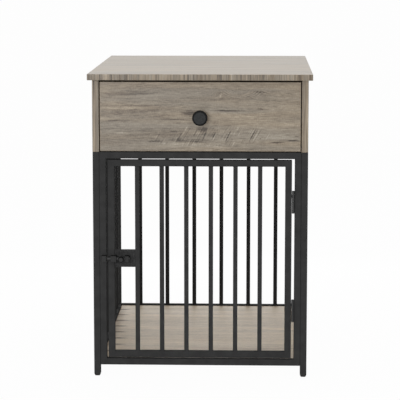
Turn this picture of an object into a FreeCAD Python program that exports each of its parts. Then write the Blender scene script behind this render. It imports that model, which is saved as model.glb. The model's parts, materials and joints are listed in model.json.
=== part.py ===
import FreeCAD, Part
import os
from math import asin, cos, degrees, radians, sin, sqrt

# A dog crate end table: a steel tube crate with a barred door, under a wooden cabinet with one drawer.
# Millimetres. +X is to the right, +Y to the back, +Z up. The origin is on the floor, under the middle
# of the table top.

# ---------------------------------------------------------------- driving dimensions

# Overall size, and how far the table top stands past the crate and cabinet
top_width = 508.0
top_depth = 686.0
table_height = 700.0
front_overhang = 27.0
back_overhang = 6.0
side_overhang = 9.0

# Boards
top_board = 14.0
side_board = 15.0
back_board = 12.0
ceiling_board = 12.0
ceiling_lip = 2.0
floor_board = 10.0
board_edge = 0.8

# Square steel tube of the frames, and square steel bar between the rails
tube = 15.0
tube_wall = 1.2
tube_corner = 1.8
tube_corner_steps = 2
bar = 10.0
bar_corner = 0.8
bar_corner_steps = 1
peg_sides = 10

# Crate
rail_height = 26.5
crate_height = 521.0
side_bar_count = 8
side_bar_end_gap = 56.25
back_bar_count = 6
back_bar_end_gap = 46.25

# Crate floor and the tabs that it lies on
floor_play = 1.5
tab_width = 40.0
tab_reach = 18.0
tab_sheet = 2.0
side_tab_count = 3
end_tab_count = 2

# Plastic feet, plugged into the legs
foot_height = 9.0
foot_taper = 2.0
plug_length = 14.0
plug_play = 0.2
plug_lead = 0.8

# Door
door_gap_latch = 4.0
door_gap_hinge = 6.3
door_gap_top = 2.6
door_gap_bottom = 3.0
door_bar_count = 6
door_first_gap = 47.0
door_last_gap = 52.2

# Weld-on hinges: barrels that stand in front of the gap between the two stiles
hinge_length = 52.0
hinge_from_top = 95.5
hinge_from_bottom = 112.0
hinge_stand_off = 1.6
hinge_clear = 1.0
hinge_split = 0.5
hinge_pin_radius = 1.9
hinge_pin_play = 0.05
hinge_cap = 4.0
weld_depth = 2.5
door_weld_height = 7.0

# Slide bolt that locks the door
bolt_height = 276.0
bolt_radius = 4.0
bolt_stand_off = 1.0
bolt_play = 0.1
bolt_throw = 7.8
bolt_draw = 6.0
bolt_tip_clear = 0.7
bolt_tail = 3.0
bolt_chamfer = 1.0
guide_wall = 2.9
guide_edge = 1.0
guide_inset = 6.2
outer_guide_width = 13.6
inner_guide_width = 8.9
keeper_width = 10.5
keeper_overhang = 0.5
keeper_play = 1.0
keeper_wall = 2.3
latch_plate_height = 41.0
latch_plate_sheet = 2.5
latch_knob_radius = 6.5
latch_knob_length = 8.0
latch_stem_radius = 2.5
latch_stem_play = 0.4
latch_knob_edge = 1.3
latch_knob_sides = 24
stem_flat = 0.8
latch_knob_clear = 1.5

# Drawer
drawer_gap_side = 2.5
drawer_gap_top = 5.0
drawer_gap_bottom = 3.0
drawer_front_board = 15.0
drawer_board = 12.0
drawer_headroom = 24.0
drawer_length = 420.0
drawer_end_inset = 8.0
drawer_lift = 8.0
drawer_back_gap = 2.0
drawer_bottom_sheet = 4.0
groove_depth = 6.0
groove_height = 10.0
groove_play = 0.1
housing_depth = 5.0
drawer_travel = 260.0

# Drawer knob, turned about its screw
knob_radius = 17.5
knob_drop = 2.0
knob_projection = 25.0
knob_rim = 4.0
knob_bevel = 2.6
knob_sides = 40
knob_neck_radius = 6.5
knob_base_radius = 9.0
knob_base_height = 2.5
knob_screw_radius = 2.0
knob_screw_grip = 10.0
screw_play = 0.05

# Ball slides: two formed steel rails with balls in a cage between them
slide_length = 400.0
slide_thick = 12.7
slide_sheet = 1.2
slide_setback = 4.0
slide_gap = 0.8
ball_radius = 2.4
ball_race_play = 0.1
ball_row = 13.5
ball_count = 4
ball_pitch = 36.0
ball_sides = 8
race_angle = 35.0
race_steps = 4
cage_sheet = 0.8
cage_gap = 1.4
cage_lip_gap = 0.5
cage_end = 11.0
cage_pocket_play = 0.2
cage_spare = 5.0

# Flat-headed wood screws that hold the slide rails
rail_screw_radius = 1.75
rail_screw_head = 3.0
rail_screw_head_height = 1.0
rail_screw_length = 10.0
rail_screw_count = 2
rail_screw_inset = 32.0

# M6 bolts that join the frames and carry the cabinet
m6_radius = 3.0
m6_hole = 3.2
m6_head_radius = 5.5
m6_head_height = 3.2
m6_socket_width = 4.0
m6_socket_depth = 2.0
bolt_access_radius = 6.2
thread_play = 0.05
nut_width = 10.0
nut_height = 5.0
end_plate = 3.0
frame_bolt_grip = 12.0
front_bolt_low = 90.0
front_bolt_high = 460.0
cabinet_bolt_grip = 25.0

# Joinery of the cabinet: rebates in the sides, and cam fittings under the top
rebate = 3.0
joint_play = 0.1
cam_radius = 7.3
cam_depth = 12.2
cam_drop = 24.0
cam_inset = 110.0
cam_bolt_radius = 3.0
cam_bolt_in_top = 11.0

# ---------------------------------------------------------------- places worked out from them

Vec = FreeCAD.Vector
half_tube = tube / 2

x_side = top_width / 2 - side_overhang          # outer face of legs and cabinet sides
x_leg = x_side - tube                           # inner face of the legs
x_cabinet = x_side - side_board                 # inner face of the cabinet sides
y_front = front_overhang - top_depth / 2        # front faces of legs, frame, door and drawer
y_back = top_depth / 2 - back_overhang          # back faces of the back legs
y_frame = y_front + tube                        # back of the front frame
y_back_frame = y_back - tube                    # front of the back frame
z_rail = rail_height + tube                     # upper face of the lower rails
z_upper = crate_height - tube                   # lower face of the upper rails
z_top = table_height - top_board                # lower face of the table top

door_left = -x_leg + tube + door_gap_latch
door_right = x_leg - tube - door_gap_hinge
door_low = z_rail + door_gap_bottom
door_high = z_upper - door_gap_top
door_bar_left = door_left + tube + door_first_gap
bar_face = y_front + (tube - bar) / 2           # front faces of the bars in door

# ---------------------------------------------------------------- basic shapes

SIDES = ((-1, "left"), (1, "right"))
SQUARE = (Vec(-1, -1, 0), Vec(1, -1, 0), Vec(1, 1, 0), Vec(-1, 1, 0), Vec(-1, -1, 0))
ALONG = {
    "x": FreeCAD.Rotation(Vec(0, 1, 0), 90),
    "y": FreeCAD.Rotation(Vec(1, 0, 0), -90),
    "z": FreeCAD.Rotation(),
}


def box(x0, x1, y0, y1, z0, z1):
    """Block between two opposite corners."""
    return Part.makeBox(x1 - x0, y1 - y0, z1 - z0, Vec(x0, y0, z0))


def board(x0, x1, y0, y1, z0, z1):
    """Block with its edges eased, as a laminated board has."""
    plain = box(x0, x1, y0, y1, z0, z1)
    return plain.makeChamfer(board_edge, plain.Edges)


def rod(radius, start, end):
    """Round bar from one point to another."""
    run = end.sub(start)
    return Part.makeCylinder(radius, run.Length, start, run)


def filled(points):
    """Flat face inside a closed run of corner points."""
    return Part.Face(Part.makePolygon(points + points[:1]))


def ring(radius, sides):
    """Corner points of a regular outline about the Z axis."""
    turns = [radians(360 / sides * corner) for corner in range(sides)]
    return [Vec(radius * cos(turn), radius * sin(turn), 0) for turn in turns]


def turned(profile, sides, start, direction):
    """Turned piece with flat facets, from (radius, distance) steps along a direction and with flat ends."""
    rings = [[point + Vec(0, 0, distance) for point in ring(radius, sides)] for radius, distance in profile]
    faces = [filled(rings[0]), filled(rings[-1])]
    for low, high in zip(rings, rings[1:]):
        for corner in range(sides):
            faces.append(filled([low[corner - 1], low[corner], high[corner], high[corner - 1]]))
    piece = Part.makeSolid(Part.makeShell(faces))
    piece.Placement = FreeCAD.Placement(start, FreeCAD.Rotation(Vec(0, 0, 1), direction))
    return piece


def peg(radius, start, end, sides=peg_sides):
    """Small straight fastener, or the hole for one, with flat sides."""
    run = end.sub(start)
    return turned([(radius, 0), (radius, run.Length)], sides, start, run)


def rounded_square(size, corner, steps):
    """Square face about the origin, each corner rounded in a few steps."""
    points = []
    for quarter in range(4):
        centre = Vec(size / 2 - corner, size / 2 - corner, 0)
        for step in range(steps + 1):
            turn = radians(90 * step / steps)
            point = centre + Vec(corner * cos(turn), corner * sin(turn), 0)
            points.append(FreeCAD.Rotation(Vec(0, 0, 1), 90 * quarter).multVec(point))
    return filled(points)


def square_tube(axis, start, length):
    """Hollow square tube with its centre line from start along an axis."""
    hollow = Part.Face(Part.makePolygon([corner * (half_tube - tube_wall) for corner in SQUARE]))
    run = rounded_square(tube, tube_corner, tube_corner_steps).cut(hollow).extrude(Vec(0, 0, length))
    run.Placement = FreeCAD.Placement(start, ALONG[axis])
    return run


def square_bar(start, length):
    """Upright solid square bar with eased corners."""
    run = rounded_square(bar, bar_corner, bar_corner_steps).extrude(Vec(0, 0, length))
    run.translate(start)
    return run


def tapered_block(low_half, high_half, z_low, z_high):
    """Square block about the Z axis that is wider at one end."""
    block = Part.makeWedge(-low_half, z_low, -low_half, -high_half, -high_half,
                           low_half, z_high, low_half, high_half, high_half)
    block.rotate(Vec(0, 0, 0), Vec(1, 0, 0), 90)
    return block


def mitred_frame(x0, x1, z0, z1):
    """The four tubes of an upright rectangular frame, cut at 45 degrees where they meet."""
    outer = [Vec(x0, y_front, z0), Vec(x1, y_front, z0), Vec(x1, y_front, z1), Vec(x0, y_front, z1)]
    inner = [
        Vec(x0 + tube, y_front, z0 + tube), Vec(x1 - tube, y_front, z0 + tube),
        Vec(x1 - tube, y_front, z1 - tube), Vec(x0 + tube, y_front, z1 - tube),
    ]
    y_centre = y_front + half_tube
    width = x1 - x0
    height = z1 - z0
    runs = {
        "bottom": square_tube("x", Vec(x0, y_centre, z0 + half_tube), width),
        "right": square_tube("z", Vec(x1 - half_tube, y_centre, z0), height),
        "top": square_tube("x", Vec(x0, y_centre, z1 - half_tube), width),
        "left": square_tube("z", Vec(x0 + half_tube, y_centre, z0), height),
    }
    members = {}
    for corner, (side, run) in enumerate(runs.items()):
        after = (corner + 1) % 4
        outline = [outer[corner], outer[after], inner[after], inner[corner], outer[corner]]
        mitres = Part.Face(Part.makePolygon(outline)).extrude(Vec(0, tube, 0))
        members[side] = run.common(mitres)
    return members


def spread(low, high, count):
    """Places spread evenly from low to high, both ends included."""
    return [low + (high - low) * number / (count - 1) for number in range(count)]


def export(node, *solids):
    """Writes one sub-part. Its solids stay separate."""
    shape = solids[0] if len(solids) == 1 else Part.makeCompound(list(solids))
    shape.exportStep("parts/" + node + ".step")


os.makedirs("parts", exist_ok=True)

# ---------------------------------------------------------------- bolts of the frames

front_bolt_heights = (front_bolt_low, front_bolt_high)
back_bolt_heights = (rail_height + half_tube, crate_height - half_tube)
y_front_bolts = y_front + half_tube
y_back_bolts = y_back - half_tube
side_bar_places = spread(y_frame + side_bar_end_gap + bar / 2, y_back_frame - side_bar_end_gap - bar / 2,
                         side_bar_count)
side_bar_pitch = side_bar_places[1] - side_bar_places[0]
cabinet_bolt_places = (
    side_bar_places[0] + side_bar_pitch / 2,
    side_bar_places[-1] - side_bar_pitch / 2,
)


def socket_bolt(head_face, direction, grip):
    """M6 bolt whose head sits on head_face, with its shank along direction."""
    outer_end = head_face - direction * m6_head_height
    head = peg(m6_head_radius, outer_end, head_face)
    shank = peg(m6_radius, head_face, head_face + direction * grip)
    socket = peg(m6_socket_width / sqrt(3), outer_end, outer_end + direction * m6_socket_depth, 6)
    return head.fuse(shank).cut(socket).removeSplitter()


def frame_bolts():
    """Bolts inside the legs, through their inner walls into the front stiles and the back rails."""
    joints = [(y_front_bolts, height) for height in front_bolt_heights]
    joints += [(y_back_bolts, height) for height in back_bolt_heights]
    return [
        socket_bolt(Vec(side * (x_leg + tube_wall), place, height), Vec(-side, 0, 0), frame_bolt_grip)
        for side in (-1, 1)
        for place, height in joints
    ]


def cabinet_bolts():
    """Bolts from below the upper side rails into the cabinet sides."""
    grip = tube + cabinet_bolt_grip
    return [
        socket_bolt(Vec(side * (x_side - half_tube), place, z_upper), Vec(0, 0, 1), grip)
        for side in (-1, 1)
        for place in cabinet_bolt_places
    ]


def tapped(tube_run, side, y_bolt, height, width, depth):
    """Adds a tapped square nut or plate inside a tube, against the wall or end that faces a leg."""
    near, far = sorted((side * (x_leg - depth[0]), side * (x_leg - depth[1])))
    half = width / 2
    block = box(near, far, y_bolt - half, y_bolt + half, height - half, height + half)
    face = Vec(side * x_leg, y_bolt, height)
    thread = peg(m6_radius + thread_play, face, face - Vec(side * depth[1], 0, 0))
    return tube_run.fuse(block).removeSplitter().cut(thread)


# ---------------------------------------------------------------- crate

def leg(side, y_centre, bolt_heights):
    """Leg tube, with a hole in its inner wall for each bolt and a wider one outside for the bolt's head."""
    x_centre = side * (x_side - half_tube)
    upright = square_tube("z", Vec(x_centre, y_centre, foot_height), crate_height - foot_height)
    for height in bolt_heights:
        middle = Vec(x_centre, y_centre, height)
        across = Vec(side * tube, 0, 0)
        upright = upright.cut(peg(m6_hole, middle, middle - across))
        upright = upright.cut(peg(bolt_access_radius, middle, middle + across))
    return upright


def side_rail(side, z_low):
    """Tube between the legs of one side."""
    start = Vec(side * (x_side - half_tube), y_frame, z_low + half_tube)
    return square_tube("y", start, y_back_frame - y_frame)


def upper_side_rail(side):
    """Side rail with the upright holes for the cabinet bolts."""
    rail = side_rail(side, z_upper)
    for place in cabinet_bolt_places:
        low = Vec(side * (x_side - half_tube), place, z_upper - tube)
        rail = rail.cut(peg(m6_hole, low, low + Vec(0, 0, 3 * tube)))
    return rail


def upright_bars(places, z_low, z_high):
    """Square bars that stand between two rails, at (x, y) places."""
    return [square_bar(Vec(x, y, z_low), z_high - z_low) for x, y in places]


def floor_tabs():
    """Flat tabs on the lower rails that the crate floor lies on."""
    z_high = rail_height + tab_sheet
    half = tab_width / 2
    tabs = []
    for place in spread(y_frame + tube + half, y_back_frame - tube - half, side_tab_count):
        for side in (-1, 1):
            near, far = sorted((side * x_leg, side * (x_leg - tab_reach)))
            tabs.append(box(near, far, place - half, place + half, rail_height, z_high))
    end_reach = x_leg - tube - tab_reach
    for place in spread(-end_reach / 2, end_reach / 2, end_tab_count):
        for start in (y_frame, y_back_frame - tab_reach):
            tabs.append(box(place - half, place + half, start, start + tab_reach, rail_height, z_high))
    return tabs


def foot(x, y):
    """Tapered plastic foot with a plug for the leg tube."""
    grip = half_tube - tube_wall - plug_play
    shoe = tapered_block(half_tube - foot_taper, half_tube, 0, foot_height)
    whole = shoe.fuse(tapered_block(grip, grip - plug_lead, foot_height, foot_height + plug_length))
    whole.translate(Vec(x, y, 0))
    return whole


def back_rail(z_centre):
    """Tube between the back legs, with a tapped plate welded in each end."""
    rail = square_tube("x", Vec(-x_leg, y_back_bolts, z_centre), 2 * x_leg)
    for side in (-1, 1):
        rail = tapped(rail, side, y_back_bolts, z_centre, tube - 2 * tube_wall, (0, end_plate))
    return rail


crate_frame = mitred_frame(-x_leg, x_leg, rail_height, crate_height)
for side, edge in SIDES:
    for height in front_bolt_heights:
        crate_frame[edge] = tapped(crate_frame[edge], side, y_front_bolts, height, nut_width,
                                   (tube_wall, tube_wall + nut_height))

for side, edge in SIDES:
    bar_places = [(side * (x_side - half_tube), place) for place in side_bar_places]
    export("leg_front_" + edge, leg(side, y_front_bolts, front_bolt_heights))
    export("leg_back_" + edge, leg(side, y_back_bolts, back_bolt_heights))
    export("side_rail_top_" + edge, upper_side_rail(side))
    export("side_rail_bottom_" + edge, side_rail(side, rail_height))
    export("side_bars_" + edge, *upright_bars(bar_places, z_rail, z_upper))
    export("front_stile_" + edge, crate_frame[edge])

export("front_rail_top", crate_frame["top"])
export("front_rail_bottom", crate_frame["bottom"])
for level, z_centre in zip(("bottom", "top"), back_bolt_heights):
    export("back_rail_" + level, back_rail(z_centre))
back_bar_reach = x_leg - back_bar_end_gap - bar / 2
back_bar_places = spread(-back_bar_reach, back_bar_reach, back_bar_count)
export("back_bars", *upright_bars([(place, y_back_bolts) for place in back_bar_places], z_rail, z_upper))

export("floor_tabs", *floor_tabs())
z_floor = rail_height + tab_sheet
export("floor_board", board(-x_leg + floor_play, x_leg - floor_play, y_frame + floor_play,
                            y_back_frame - floor_play, z_floor, z_floor + floor_board))
export("foot_plugs", *[foot(side * (x_side - half_tube), y) for side in (-1, 1)
                       for y in (y_front_bolts, y_back_bolts)])
export("frame_bolts", *frame_bolts())
export("cabinet_bolts", *cabinet_bolts())

# ---------------------------------------------------------------- door

door_frame = mitred_frame(door_left, door_right, door_low, door_high)
for side in ("left", "right"):
    export("door_stile_" + side, door_frame[side])
for side in ("top", "bottom"):
    export("door_rail_" + side, door_frame[side])
door_bar_right = door_right - tube - door_last_gap
door_bar_places = spread(door_bar_left + bar / 2, door_bar_right - bar / 2, door_bar_count)
export("door_bars", *upright_bars([(place, y_front + half_tube) for place in door_bar_places],
                                  door_low + tube, door_high - tube))

# ---------------------------------------------------------------- hinges

hinge_x = door_right + door_gap_hinge / 2
hinge_y = y_front - hinge_stand_off
hinge_to_corner = sqrt((door_gap_hinge / 2 + tube_corner) ** 2 + (hinge_stand_off + tube_corner) ** 2)
hinge_radius = hinge_to_corner - tube_corner - hinge_clear
weld_back = y_front + tube_corner + weld_depth
hinge_middles = (door_low + hinge_from_bottom, door_high - hinge_from_top)
knuckle_length = (hinge_length - hinge_split) / 2


def knuckle(z_low, x_stile, weld_height):
    """One barrel of a hinge, with the weld that holds it on the side of a stile."""
    foot_point = Vec(hinge_x, hinge_y, z_low)
    barrel = rod(hinge_radius, foot_point, foot_point + Vec(0, 0, knuckle_length))
    near, far = sorted((x_stile, hinge_x))
    weld_low = z_low + (knuckle_length - weld_height) / 2
    weld = box(near, far, hinge_y, weld_back, weld_low, weld_low + weld_height)
    return barrel.fuse(weld).removeSplitter()


def pin_bore(z_low, z_high, radius):
    """Hole for a hinge pin."""
    return rod(radius, Vec(hinge_x, hinge_y, z_low), Vec(hinge_x, hinge_y, z_high))


frame_knuckles = []
door_knuckles = []
pins = []
for middle in hinge_middles:
    pin_low = middle - hinge_length / 2 + hinge_cap
    pin_high = middle + hinge_length / 2 - hinge_cap
    bore = pin_bore(pin_low, pin_high + hinge_split, hinge_pin_radius + hinge_pin_play)
    pins.append(peg(hinge_pin_radius, Vec(hinge_x, hinge_y, pin_low), Vec(hinge_x, hinge_y, pin_high)))
    frame_knuckles.append(knuckle(pin_low - hinge_cap, x_leg - tube, knuckle_length).cut(pins[-1]))
    door_knuckles.append(knuckle(middle + hinge_split / 2, door_right, door_weld_height).cut(bore))
export("hinge_frame_knuckles", *frame_knuckles)
export("hinge_door_knuckles", *door_knuckles)
export("hinge_pins", *pins)

# ---------------------------------------------------------------- slide bolt

bolt_y = y_front - bolt_stand_off - bolt_radius
guide_reach = bolt_radius + bolt_play + guide_wall
keeper_passage = bolt_radius + keeper_play
keeper_right = -x_leg + tube + keeper_overhang
outer_guide_left = door_left + guide_inset
outer_guide_right = outer_guide_left + outer_guide_width
stem_x = outer_guide_right + bolt_throw + latch_stem_play + latch_stem_radius
inner_guide_left = stem_x + latch_stem_radius + bolt_draw + latch_stem_play
inner_guide_right = inner_guide_left + inner_guide_width
guide_front = bolt_y - guide_reach


def saddle(x0, x1, y_base, reach):
    """Block that stands on a face around the bolt, with the edges of its front eased."""
    y_face = bolt_y - reach
    block = box(x0, x1, y_face, y_base, bolt_height - reach, bolt_height + reach)
    front_edges = [edge for edge in block.Edges if edge.BoundBox.YMax < y_face + guide_edge]
    return block.makeChamfer(guide_edge, front_edges)


def bolt_guide(x0, x1, y_base):
    """Guide with a round bore that the bolt slides in."""
    bore = rod(bolt_radius + bolt_play, Vec(x0, bolt_y, bolt_height), Vec(x1, bolt_y, bolt_height))
    return saddle(x0, x1, y_base, guide_reach).cut(bore)


export("latch_plate", box(door_left + tube, door_bar_left, bar_face, bar_face + latch_plate_sheet,
                          bolt_height - latch_plate_height / 2, bolt_height + latch_plate_height / 2))
export("latch_guide_outer", bolt_guide(outer_guide_left, outer_guide_right, y_front))
export("latch_guide_inner", bolt_guide(inner_guide_left, inner_guide_right, bar_face))
keeper_left = keeper_right - keeper_width
keeper_strap = saddle(keeper_left, keeper_right, y_front, keeper_passage + keeper_wall)
passage = box(keeper_left, keeper_right, bolt_y - keeper_passage, y_front,
              bolt_height - keeper_passage, bolt_height + keeper_passage)
export("latch_keeper", keeper_strap.cut(passage))

rod_start = Vec(keeper_right + bolt_tip_clear, bolt_y, bolt_height)
rod_end = Vec(inner_guide_left + bolt_throw + bolt_tail, bolt_y, bolt_height)
latch_rod = rod(bolt_radius, rod_start, rod_end)
tip = [edge for edge in latch_rod.Edges if len(edge.Vertexes) == 1 and edge.BoundBox.XMax < stem_x]
latch_rod = latch_rod.makeChamfer(bolt_chamfer, tip)
stem_seat = bolt_y - bolt_radius + stem_flat
flat_half = latch_stem_radius + latch_stem_play
flat = box(stem_x - flat_half, stem_x + flat_half, bolt_y - 2 * bolt_radius, stem_seat,
           bolt_height - bolt_radius, bolt_height + bolt_radius)
export("latch_rod", latch_rod.cut(flat))

knob_back = Vec(stem_x, guide_front - latch_knob_clear, bolt_height)
knob_face = latch_knob_radius - latch_knob_edge
knob_profile = [
    (knob_face, 0), (latch_knob_radius, latch_knob_edge),
    (latch_knob_radius, latch_knob_length - latch_knob_edge), (knob_face, latch_knob_length),
]
latch_head = turned(knob_profile, latch_knob_sides, knob_back, Vec(0, -1, 0))
latch_stem = peg(latch_stem_radius, Vec(stem_x, stem_seat, bolt_height), knob_back)
export("latch_knob", latch_head.fuse(latch_stem).removeSplitter())

# ---------------------------------------------------------------- cabinet

z_ceiling = crate_height + ceiling_board
y_drawer_back = y_front + drawer_front_board
y_cabinet_back = y_back - back_board
cam_places = (y_front + cam_inset, y_back - cam_inset)
ceiling_front = y_drawer_back + drawer_back_gap
x_board_end = x_cabinet + rebate - joint_play    # ends of the boards that sit in the rebates
z_drawer = z_ceiling + drawer_lift
z_drawer_top = z_top - drawer_headroom
slide_middle = (z_drawer + z_drawer_top) / 2
slide_front = y_drawer_back + slide_setback
rail_screw_places = spread(slide_front + rail_screw_inset, slide_front + slide_length - rail_screw_inset,
                           rail_screw_count)


def cams():
    """Side of the cabinet, and the centre of each cam on the inner face of its side board."""
    z_cams = z_top - cam_drop
    return [(side, Vec(side * x_cabinet, place, z_cams)) for side in (-1, 1) for place in cam_places]


def cam_bolt(side, centre, play):
    """Bolt from the rim of a cam up into the table top, or the hole for it."""
    low = Vec(side * (x_cabinet + side_board / 2), centre.y, centre.z + cam_radius)
    return peg(cam_bolt_radius + play, low, Vec(low.x, low.y, z_top + cam_bolt_in_top + play))


def drilled_for_cams(panel):
    """Drills a cabinet board for the cam fittings."""
    for side, centre in cams():
        seat = peg(cam_radius + joint_play, centre, centre + Vec(side * (cam_depth + joint_play), 0, 0))
        panel = panel.cut(seat).cut(cam_bolt(side, centre, joint_play))
    return panel


def cabinet_side(side):
    """Side board, rebated for the ceiling and the back, and drilled for its fittings."""
    near, far = sorted((side * x_cabinet, side * x_side))
    panel = drilled_for_cams(board(near, far, y_front, y_back, crate_height, z_top))
    near, far = sorted((side * (x_cabinet - rebate), side * (x_cabinet + rebate)))
    panel = panel.cut(box(near, far, ceiling_front, y_back + rebate, crate_height - rebate, z_ceiling))
    panel = panel.cut(box(near, far, y_cabinet_back, y_back + rebate, crate_height, z_top + rebate))
    deep = Vec(0, 0, cabinet_bolt_grip + joint_play)
    for place in cabinet_bolt_places:
        low = Vec(side * (x_side - half_tube), place, crate_height)
        panel = panel.cut(peg(m6_radius + thread_play, low, low + deep))
    return drilled_for_rails(panel, x_cabinet, 1)


def ceiling():
    """Board between crate and drawer. It lies on the frame, and its lip drops in behind the front rail."""
    lip_front = y_frame + joint_play
    lip = box(-x_leg + joint_play, x_leg - joint_play, lip_front, y_back_frame - joint_play,
              crate_height - ceiling_lip, crate_height + ceiling_lip)
    whole = board(-x_board_end, x_board_end, ceiling_front, y_back, crate_height, z_ceiling)
    return whole.fuse(lip).removeSplitter()


def cam_fittings():
    """Cam discs in the side boards, and the bolts that they draw down."""
    discs = [peg(cam_radius, centre, centre + Vec(side * cam_depth, 0, 0)) for side, centre in cams()]
    return discs + [cam_bolt(side, centre, 0) for side, centre in cams()]


def rail_screw(face, direction):
    """Wood screw through a slide rail: its flat head on the rail, its shank along direction."""
    head_seat = face - direction * slide_sheet
    head = peg(rail_screw_head, head_seat - direction * rail_screw_head_height, head_seat)
    shank = peg(rail_screw_radius, head_seat, face + direction * rail_screw_length)
    return head.fuse(shank).removeSplitter()


def rail_screws(x_face, outward):
    """The screws of one member on both sides, where outward 1 points them to the outside of the table."""
    return [
        rail_screw(Vec(side * x_face, place, slide_middle), Vec(side * outward, 0, 0))
        for side in (-1, 1)
        for place in rail_screw_places
    ]


def drilled_for_rails(panel, x_face, outward):
    """Pilot holes for the rail screws in a board."""
    for side in (-1, 1):
        for place in rail_screw_places:
            face = Vec(side * x_face, place, slide_middle)
            deep = face + Vec(side * outward * rail_screw_length, 0, 0)
            panel = panel.cut(peg(rail_screw_radius + screw_play, face, deep))
    return panel


for side, edge in SIDES:
    export("cabinet_side_" + edge, cabinet_side(side))
export("cabinet_back", board(-x_board_end, x_board_end, y_cabinet_back, y_back, z_ceiling, z_top))
export("cabinet_ceiling", ceiling())
export("table_top", drilled_for_cams(board(-top_width / 2, top_width / 2, -top_depth / 2, top_depth / 2,
                                           z_top, table_height)))
export("cam_fittings", *cam_fittings())

# ---------------------------------------------------------------- drawer

x_drawer = x_cabinet - slide_thick               # outer faces of the drawer sides
x_drawer_in = x_drawer - drawer_board
y_drawer_end = y_drawer_back + drawer_length
z_knob = (crate_height + drawer_gap_bottom + z_top - drawer_gap_top) / 2 - knob_drop
z_groove = z_drawer + groove_height

y_groove_end = y_drawer_end - drawer_end_inset - drawer_board + groove_depth
drawer_groove = box(-x_drawer_in - groove_depth, x_drawer_in + groove_depth,
                    y_drawer_back - groove_depth, y_groove_end, z_groove, z_groove + drawer_bottom_sheet)
knob_axis = Vec(0, y_front, z_knob)
screw_hole = peg(knob_screw_radius + screw_play, knob_axis, Vec(0, y_drawer_back, z_knob))


def drawer_wall(side):
    """Side board of the drawer, let into the back of the drawer front."""
    near, far = sorted((side * x_drawer_in, side * x_drawer))
    return box(near, far, y_drawer_back - housing_depth, y_drawer_end, z_drawer, z_drawer_top)


y_drawer_end_board = y_drawer_end - drawer_end_inset - drawer_board
drawer_end = box(-x_drawer_in - housing_depth, x_drawer_in + housing_depth,
                 y_drawer_end_board, y_drawer_end_board + drawer_board, z_drawer, z_drawer_top)
drawer_face = board(-x_cabinet + drawer_gap_side, x_cabinet - drawer_gap_side, y_front, y_drawer_back,
                    crate_height + drawer_gap_bottom, z_top - drawer_gap_top)
for side, edge in SIDES:
    drawer_face = drawer_face.cut(drawer_wall(side))
    wall = drawer_wall(side).cut(drawer_groove).cut(drawer_end)
    export("drawer_side_" + edge, drilled_for_rails(wall, x_drawer, -1))
export("drawer_front", drawer_face.cut(drawer_groove).cut(screw_hole))
export("drawer_back", drawer_end.cut(drawer_groove))
bottom_reach = x_drawer_in + groove_depth - groove_play
bottom_front = y_drawer_back - groove_depth + groove_play
z_bottom = z_groove + drawer_bottom_sheet - groove_play
export("drawer_bottom", box(-bottom_reach, bottom_reach, bottom_front, y_groove_end - groove_play,
                            z_groove, z_bottom))


def drawer_knob():
    """Turned knob: a flared base, a neck that flares to the head, and a flat head with a bevelled rim."""
    head_back = knob_projection - knob_rim - knob_bevel
    neck_end = (knob_base_height + head_back) / 2
    profile = [
        (knob_base_radius, 0), (knob_neck_radius, knob_base_height), (knob_neck_radius, neck_end),
        (knob_radius, head_back), (knob_radius, head_back + knob_rim),
        (knob_radius - knob_bevel, knob_projection),
    ]
    return turned(profile, knob_sides, knob_axis, Vec(0, -1, 0))


knob_screw_end = knob_axis - Vec(0, knob_screw_grip, 0)
export("drawer_knob", drawer_knob().cut(peg(knob_screw_radius + screw_play, knob_screw_end, knob_axis)))
screw_seat = Vec(0, y_drawer_back, z_knob)
screw_head = peg(2 * knob_screw_radius, screw_seat, screw_seat + Vec(0, knob_screw_radius, 0))
export("knob_screw", screw_head.fuse(peg(knob_screw_radius, knob_screw_end, screw_seat)).removeSplitter())

# ---------------------------------------------------------------- ball slides

# Sections are drawn with u inward from the cabinet side and v up from the middle of the slide
ball_line = slide_thick / 2
cage_line = slide_sheet + cage_gap
cage_reach = slide_thick - slide_sheet - cage_gap
race_inner = ball_radius + ball_race_play
race_outer = race_inner + slide_sheet
race_rise = race_inner * sin(radians(race_angle))
outer_angle = degrees(asin((race_rise + slide_sheet) / race_outer))


def placed(side, section, start, length):
    """Runs a section of (u, v) points along the slide on one side of the table."""
    points = [Vec(side * (x_cabinet - u), start, slide_middle + v) for u, v in section]
    return filled(points).extrude(Vec(0, length, 0))


def strip(side, u0, u1, v0, v1, start, length):
    """Straight strip with its two faces at u0 and u1, and its edges at v0 and v1."""
    return placed(side, [(u0, v0), (u1, v0), (u1, v1), (u0, v1)], start, length)


def race(radius, first, last):
    """Curved run of (u, v) points about the upper row of balls, between two angles."""
    turns = [radians(angle) for angle in spread(first, last, race_steps + 1)]
    return [(ball_line + radius * cos(turn), ball_row + radius * sin(turn)) for turn in turns]


def both_rows(upper):
    """Section made of an upper half and its mirror image below."""
    return upper + [(u, -v) for u, v in reversed(upper)]


def cabinet_member():
    """Section of the rail on the cabinet side: it wraps both rows of balls from outside."""
    level = ball_row + race_rise
    lip_end = slide_thick - slide_sheet - slide_gap
    return both_rows([
        (0, level + slide_sheet), *race(race_outer, 180 - outer_angle, outer_angle),
        (lip_end, level + slide_sheet), (lip_end, level), *race(race_inner, race_angle, 180 - race_angle),
        (slide_sheet, level),
    ])


def drawer_member():
    """Section of the rail on the drawer side: it carries both rows of balls from between them."""
    level = ball_row - race_rise
    lip_end = cage_line + cage_sheet + cage_lip_gap
    return both_rows([
        (slide_thick, level), *race(race_inner, 360 - race_angle, 180 + race_angle),
        (lip_end, level), (lip_end, level - slide_sheet),
        *race(race_outer, 180 + outer_angle, 360 - outer_angle),
        (slide_thick - slide_sheet, level - slide_sheet),
    ])


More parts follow.
